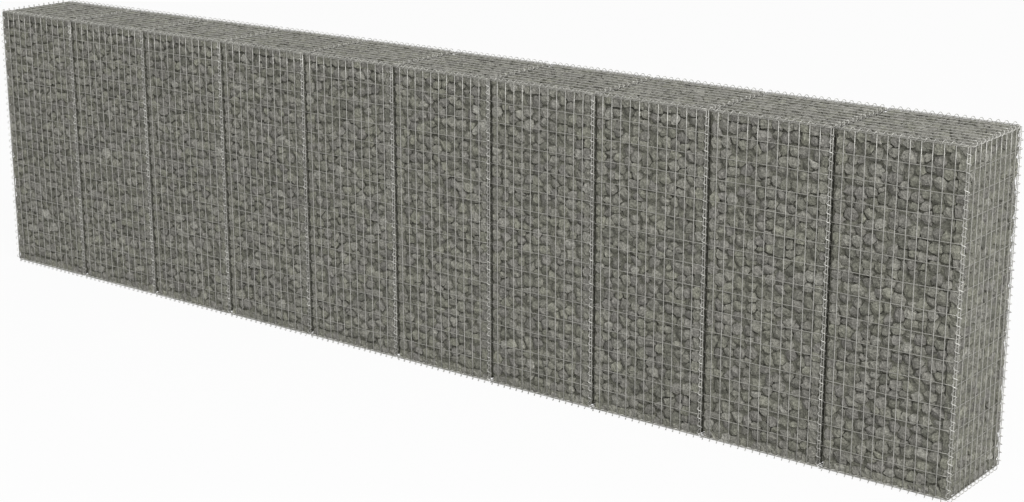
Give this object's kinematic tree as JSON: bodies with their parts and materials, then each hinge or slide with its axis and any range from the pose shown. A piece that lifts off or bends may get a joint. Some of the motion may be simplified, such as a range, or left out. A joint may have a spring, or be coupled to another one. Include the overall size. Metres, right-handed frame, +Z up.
{
  "type": "gabion wall",
  "caption": "Free-standing gabion wall: a row of welded wire mesh baskets laced together by spiral wires and filled with broken grey stone.",
  "frame": {"origin": "on the ground, under the middle of the wall", "axes": "X along the wall to the right as seen from the front, Y through the wall from front to back, Z up"},
  "size_m": [6.0232, 0.5232, 1.5232],
  "materials": {
    "mesh_wire": "zinc-coated drawn wire, dull light grey, weathered",
    "spiral_wire": "zinc-coated drawn wire, dull light grey",
    "stone": "loose broken stone, dry, matt grey with faint olive and mauve tints"
  },
  "bodies": {
    "root": {"front_panel_01": "mesh_wire", "front_panel_02": "mesh_wire", "front_panel_03": "mesh_wire", "front_panel_04": "mesh_wire", "front_panel_05": "mesh_wire", "front_panel_06": "mesh_wire", "front_panel_07": "mesh_wire", "front_panel_08": "mesh_wire", "front_panel_09": "mesh_wire", "front_panel_10": "mesh_wire", "back_panel_01": "mesh_wire", "back_panel_02": "mesh_wire", "back_panel_03": "mesh_wire", "back_panel_04": "mesh_wire", "back_panel_05": "mesh_wire", "back_panel_06": "mesh_wire", "back_panel_07": "mesh_wire", "back_panel_08": "mesh_wire", "back_panel_09": "mesh_wire", "back_panel_10": "mesh_wire", "end_panel_left": "mesh_wire", "end_panel_right": "mesh_wire", "divider_panels_1": "mesh_wire", "divider_panels_2": "mesh_wire", "divider_panels_3": "mesh_wire", "divider_panels_4": "mesh_wire", "divider_panels_5": "mesh_wire", "lid_panels_left": "mesh_wire", "lid_panels_right": "mesh_wire", "base_panels_left": "mesh_wire", "base_panels_right": "mesh_wire", "front_spirals": "spiral_wire", "back_spirals": "spiral_wire", "lid_spirals": "spiral_wire", "base_spirals": "spiral_wire", "stone_fill_01": "stone", "stone_fill_02": "stone", "stone_fill_03": "stone", "stone_fill_04": "stone", "stone_fill_05": "stone", "stone_fill_06": "stone", "stone_fill_07": "stone", "stone_fill_08": "stone", "stone_fill_09": "stone", "stone_fill_10": "stone"}
  },
  "joints": []
}
